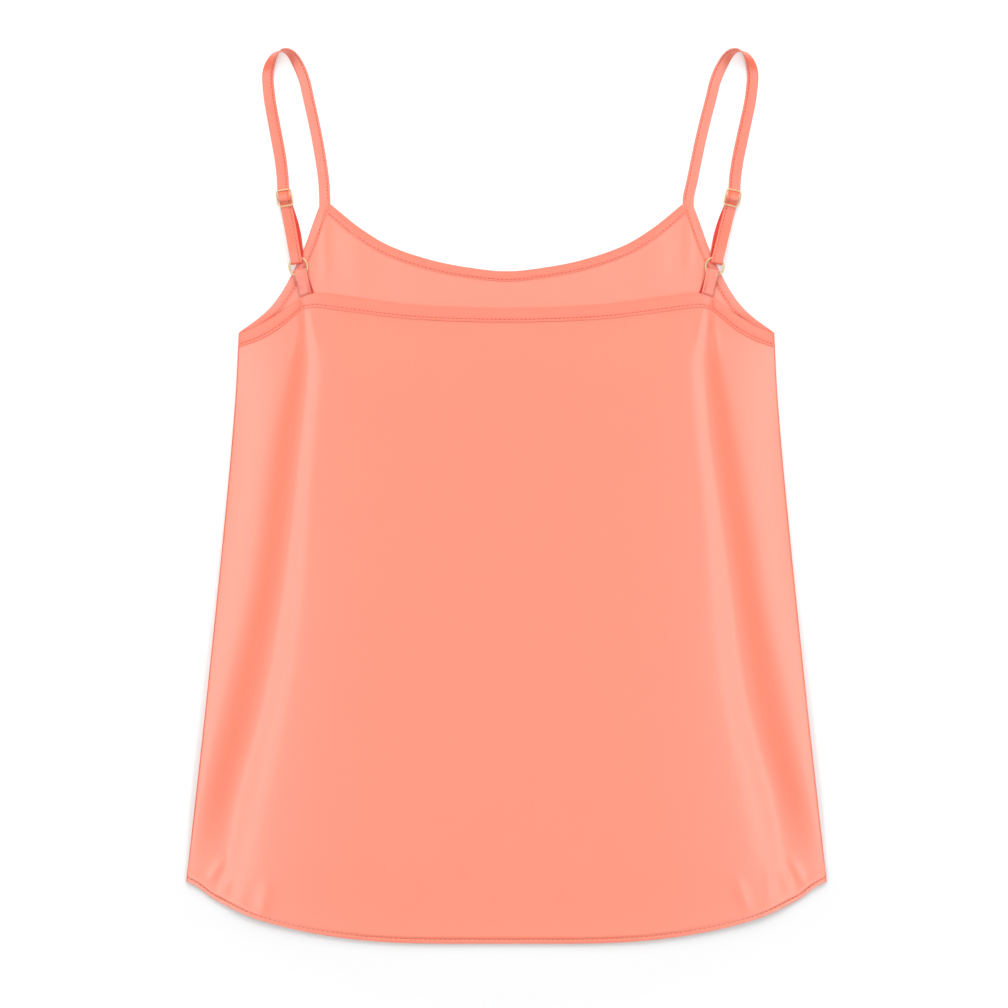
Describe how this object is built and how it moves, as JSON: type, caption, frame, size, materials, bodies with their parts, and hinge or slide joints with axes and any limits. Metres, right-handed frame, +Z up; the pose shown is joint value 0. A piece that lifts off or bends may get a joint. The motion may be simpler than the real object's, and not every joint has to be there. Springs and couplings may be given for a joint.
{
  "type": "camisole top",
  "caption": "Sleeveless satin camisole top with bound edges and adjustable ribbon straps on rings and sliders, laid flat with its back up.",
  "frame": {"origin": "on the surface that it lies on, under the middle of its bounding box", "axes": "+X across the garment to the wearer's right, +Y from the hem towards the straps, +Z up out of the surface and out of its back"},
  "size_m": [0.5122, 0.715, 0.0091],
  "materials": {
    "coral_satin": "soft satin, bright side out",
    "coral_satin_inside": "dull side of the satin",
    "coral_binding": "satin cut on the bias and topstitched",
    "coral_ribbon": "folded satin ribbon, edge stitched",
    "gold_metal": "polished pale gold plating"
  },
  "bodies": {
    "root": {"back_panel": "coral_satin", "front_panel": "coral_satin_inside", "back_neck_binding": "coral_binding", "front_neck_binding": "coral_binding", "armhole_binding_back_left": "coral_binding", "armhole_binding_front_left": "coral_binding", "strap_left": "coral_ribbon", "tab_left": "coral_ribbon", "ring_left": "gold_metal", "slider_left": "gold_metal", "armhole_binding_back_right": "coral_binding", "armhole_binding_front_right": "coral_binding", "strap_right": "coral_ribbon", "tab_right": "coral_ribbon", "ring_right": "gold_metal", "slider_right": "gold_metal"}
  },
  "joints": []
}
